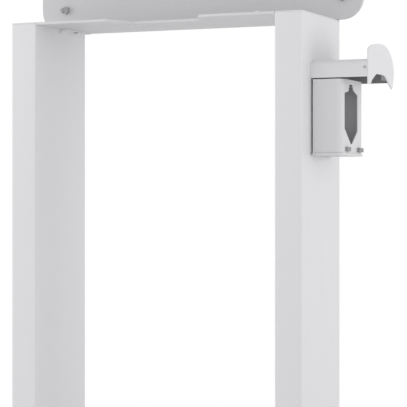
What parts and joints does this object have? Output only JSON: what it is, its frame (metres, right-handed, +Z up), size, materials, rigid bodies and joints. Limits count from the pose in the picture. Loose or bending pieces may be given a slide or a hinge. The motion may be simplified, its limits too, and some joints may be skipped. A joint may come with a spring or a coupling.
{
  "type": "security gate",
  "caption": "Walk-through gate of two deep posts, a notched lintel, a lockable header housing with a top-hung door, and a side arm with an end plate over a docking pocket.",
  "frame": {"origin": "middle of the whole footprint, on the floor", "axes": "+Z up, the longest way; +Y from the front, where the lintel's notch is, to the back, where the header housing is; +X towards the side unit"},
  "size_m": [1.1438, 0.46, 2.364],
  "materials": {
    "frame_paint": "smooth satin powder coat",
    "header_paint": "fine-grain satin powder coat",
    "lintel_paint": "satin powder coat, a shade darker than the posts",
    "dock_paint": "smooth satin powder coat, a shade darker than the frame",
    "liner_grey": "matt moulded",
    "steel": "zinc plated",
    "lock_black": "black satin",
    "dark_plastic": "matt moulded",
    "rubber": "matt",
    "pad_grey": "matt moulded",
    "circuit_board": "solder mask"
  },
  "bodies": {
    "frame": {"left_post": "frame_paint", "right_post": "frame_paint", "left_post_cap": "frame_paint", "right_post_cap": "frame_paint", "lintel_cleat_left": "frame_paint", "lintel_cleat_right": "frame_paint", "arm_channel": "frame_paint", "arm_end_plate": "frame_paint", "lintel_tray": "lintel_paint", "dock_box": "dock_paint", "dock_base": "dock_paint", "dock_liner": "liner_grey", "header_case": "header_paint", "left_foot_plate": "steel", "right_foot_plate": "steel", "left_anchor_1": "steel", "left_anchor_2": "steel", "left_anchor_3": "steel", "left_anchor_4": "steel", "right_anchor_1": "steel", "right_anchor_2": "steel", "right_anchor_3": "steel", "right_anchor_4": "steel", "lintel_screw_left": "steel", "lintel_screw_right": "steel", "header_bracket_left": "steel", "header_bracket_right": "steel", "bracket_bolt_left": "steel", "bracket_bolt_right": "steel", "hinge_leaf_case_left": "steel", "hinge_leaf_case_right": "steel", "hinge_pin_left": "steel", "hinge_pin_right": "steel", "left_lock_keeper": "steel", "right_lock_keeper": "steel", "arm_bolt_1": "steel", "arm_bolt_2": "steel", "end_plate_screw_front": "steel", "end_plate_screw_back": "steel", "dock_bolt_upper": "steel", "dock_bolt_lower": "steel", "power_supply": "steel", "terminal_block": "dark_plastic", "sounder": "dark_plastic", "wiring_loom": "rubber", "dock_spacer_upper": "rubber", "dock_spacer_lower": "rubber", "dock_bumper_front": "pad_grey", "dock_bumper_back": "pad_grey", "dock_conduit": "pad_grey", "controller_board": "circuit_board"},
    "door": {"header_door": "header_paint", "hinge_leaf_door_left": "steel", "hinge_leaf_door_right": "steel", "left_lock_barrel": "lock_black", "right_lock_barrel": "lock_black"},
    "left_lock": {"left_lock_knob": "lock_black", "left_lock_cam": "steel"},
    "right_lock": {"right_lock_knob": "lock_black", "right_lock_cam": "steel"}
  },
  "joints": [
    {"name": "door_swing", "type": "hinge", "parent": "frame", "child": "door", "pos_m": [-0.0489, 0.136, 2.358], "axis": [-1, 0, 0], "range_deg": [0, 80]},
    {"name": "left_lock_turn", "type": "hinge", "parent": "door", "child": "left_lock", "pos_m": [-0.4989, 0.12, 2.169], "axis": [0, -1, 0], "range_deg": [0, 90]},
    {"name": "right_lock_turn", "type": "hinge", "parent": "door", "child": "right_lock", "pos_m": [0.4011, 0.12, 2.169], "axis": [0, 1, 0], "range_deg": [0, 90]}
  ]
}
